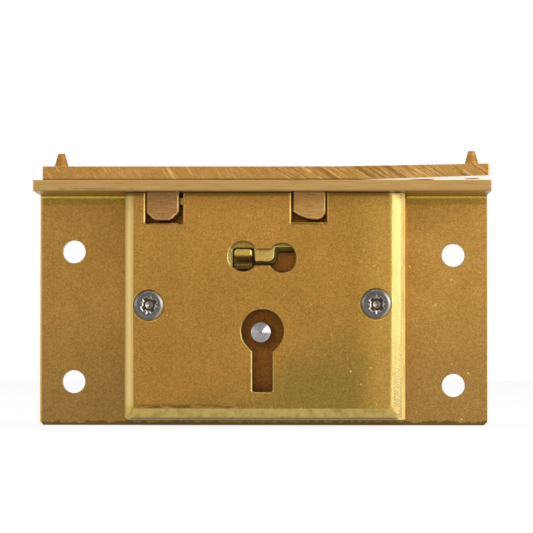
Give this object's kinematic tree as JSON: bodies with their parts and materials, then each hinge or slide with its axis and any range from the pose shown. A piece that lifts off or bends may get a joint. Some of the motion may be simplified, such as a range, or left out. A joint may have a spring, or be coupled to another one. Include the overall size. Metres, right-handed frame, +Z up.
{
  "type": "lever box lock",
  "caption": "Brass lever lock for a small wooden box: capped case with keyhole and window, sliding hook bolt, sprung levers, and a lift-off link plate with two lugs.",
  "frame": {"origin": "on the back face of the plate, behind the centre of the keyhole", "axes": "+X along the lock's width to the right as seen from inside the box, +Y out of the back face into the box wall, +Z up towards the lid"},
  "size_m": [0.076, 0.016, 0.0462],
  "materials": {
    "plate_brass": "aged satin brass",
    "cap_brass": "fine satin brass",
    "screw_steel": "dark steel",
    "stud_brass": "turned brass",
    "pin_steel": "turned steel",
    "stump_brass": "filed brass",
    "bolt_brass": "filed brass",
    "lever_brass": "rolled brass",
    "spring_steel": "blued spring steel",
    "link_brass": "sawn and filed brass",
    "lug_brass": "copper-brown brass",
    "spike_brass": "turned brass"
  },
  "bodies": {
    "case": {"back_plate": "plate_brass", "cap": "cap_brass", "cap_screw_left": "screw_steel", "cap_screw_right": "screw_steel", "screw_post_left": "stud_brass", "screw_post_right": "stud_brass", "key_pin": "pin_steel", "stump": "stump_brass", "bolt_guide_stud": "stud_brass"},
    "bolt": {"bolt": "bolt_brass", "lever_pivot": "stud_brass"},
    "lever_1": {"lever_1": "lever_brass", "lever_spring_1": "spring_steel"},
    "lever_2": {"lever_2": "lever_brass", "lever_spring_2": "spring_steel"},
    "lever_3": {"lever_3": "lever_brass", "lever_spring_3": "spring_steel"},
    "lever_4": {"lever_4": "lever_brass", "lever_spring_4": "spring_steel"},
    "link": {"link_plate": "link_brass", "link_lug_left": "lug_brass", "link_lug_right": "lug_brass", "link_spike_left": "spike_brass", "link_spike_right": "spike_brass"}
  },
  "joints": [
    {"name": "bolt_slide", "type": "slide", "parent": "case", "child": "bolt", "axis": [-1, 0, 0], "range_m": [0, 0.0073]},
    {"name": "lever_1_lift", "type": "hinge", "parent": "bolt", "child": "lever_1", "pos_m": [0.0145, 0, 0.0099], "axis": [0, 1, 0], "range_deg": [-3.5, 3.2], "stiffness_Nm_per_rad": 0.01, "springref_deg": -28.65, "deforming": ["lever_spring_1"]},
    {"name": "lever_2_lift", "type": "hinge", "parent": "bolt", "child": "lever_2", "pos_m": [0.0145, 0, 0.0099], "axis": [0, 1, 0], "range_deg": [-3.5, 3.2], "stiffness_Nm_per_rad": 0.01, "springref_deg": -28.65, "deforming": ["lever_spring_2"]},
    {"name": "lever_3_lift", "type": "hinge", "parent": "bolt", "child": "lever_3", "pos_m": [0.0145, 0, 0.0099], "axis": [0, 1, 0], "range_deg": [-3.5, 3.2], "stiffness_Nm_per_rad": 0.01, "springref_deg": -28.65, "deforming": ["lever_spring_3"]},
    {"name": "lever_4_lift", "type": "hinge", "parent": "bolt", "child": "lever_4", "pos_m": [0.0145, 0, 0.0099], "axis": [0, 1, 0], "range_deg": [-3.5, 3.2], "stiffness_Nm_per_rad": 0.01, "springref_deg": -28.65, "deforming": ["lever_spring_4"]},
    {"name": "link_lift", "type": "slide", "parent": "case", "child": "link", "axis": [0, 0, -1], "range_m": [-0.012, 0]}
  ]
}
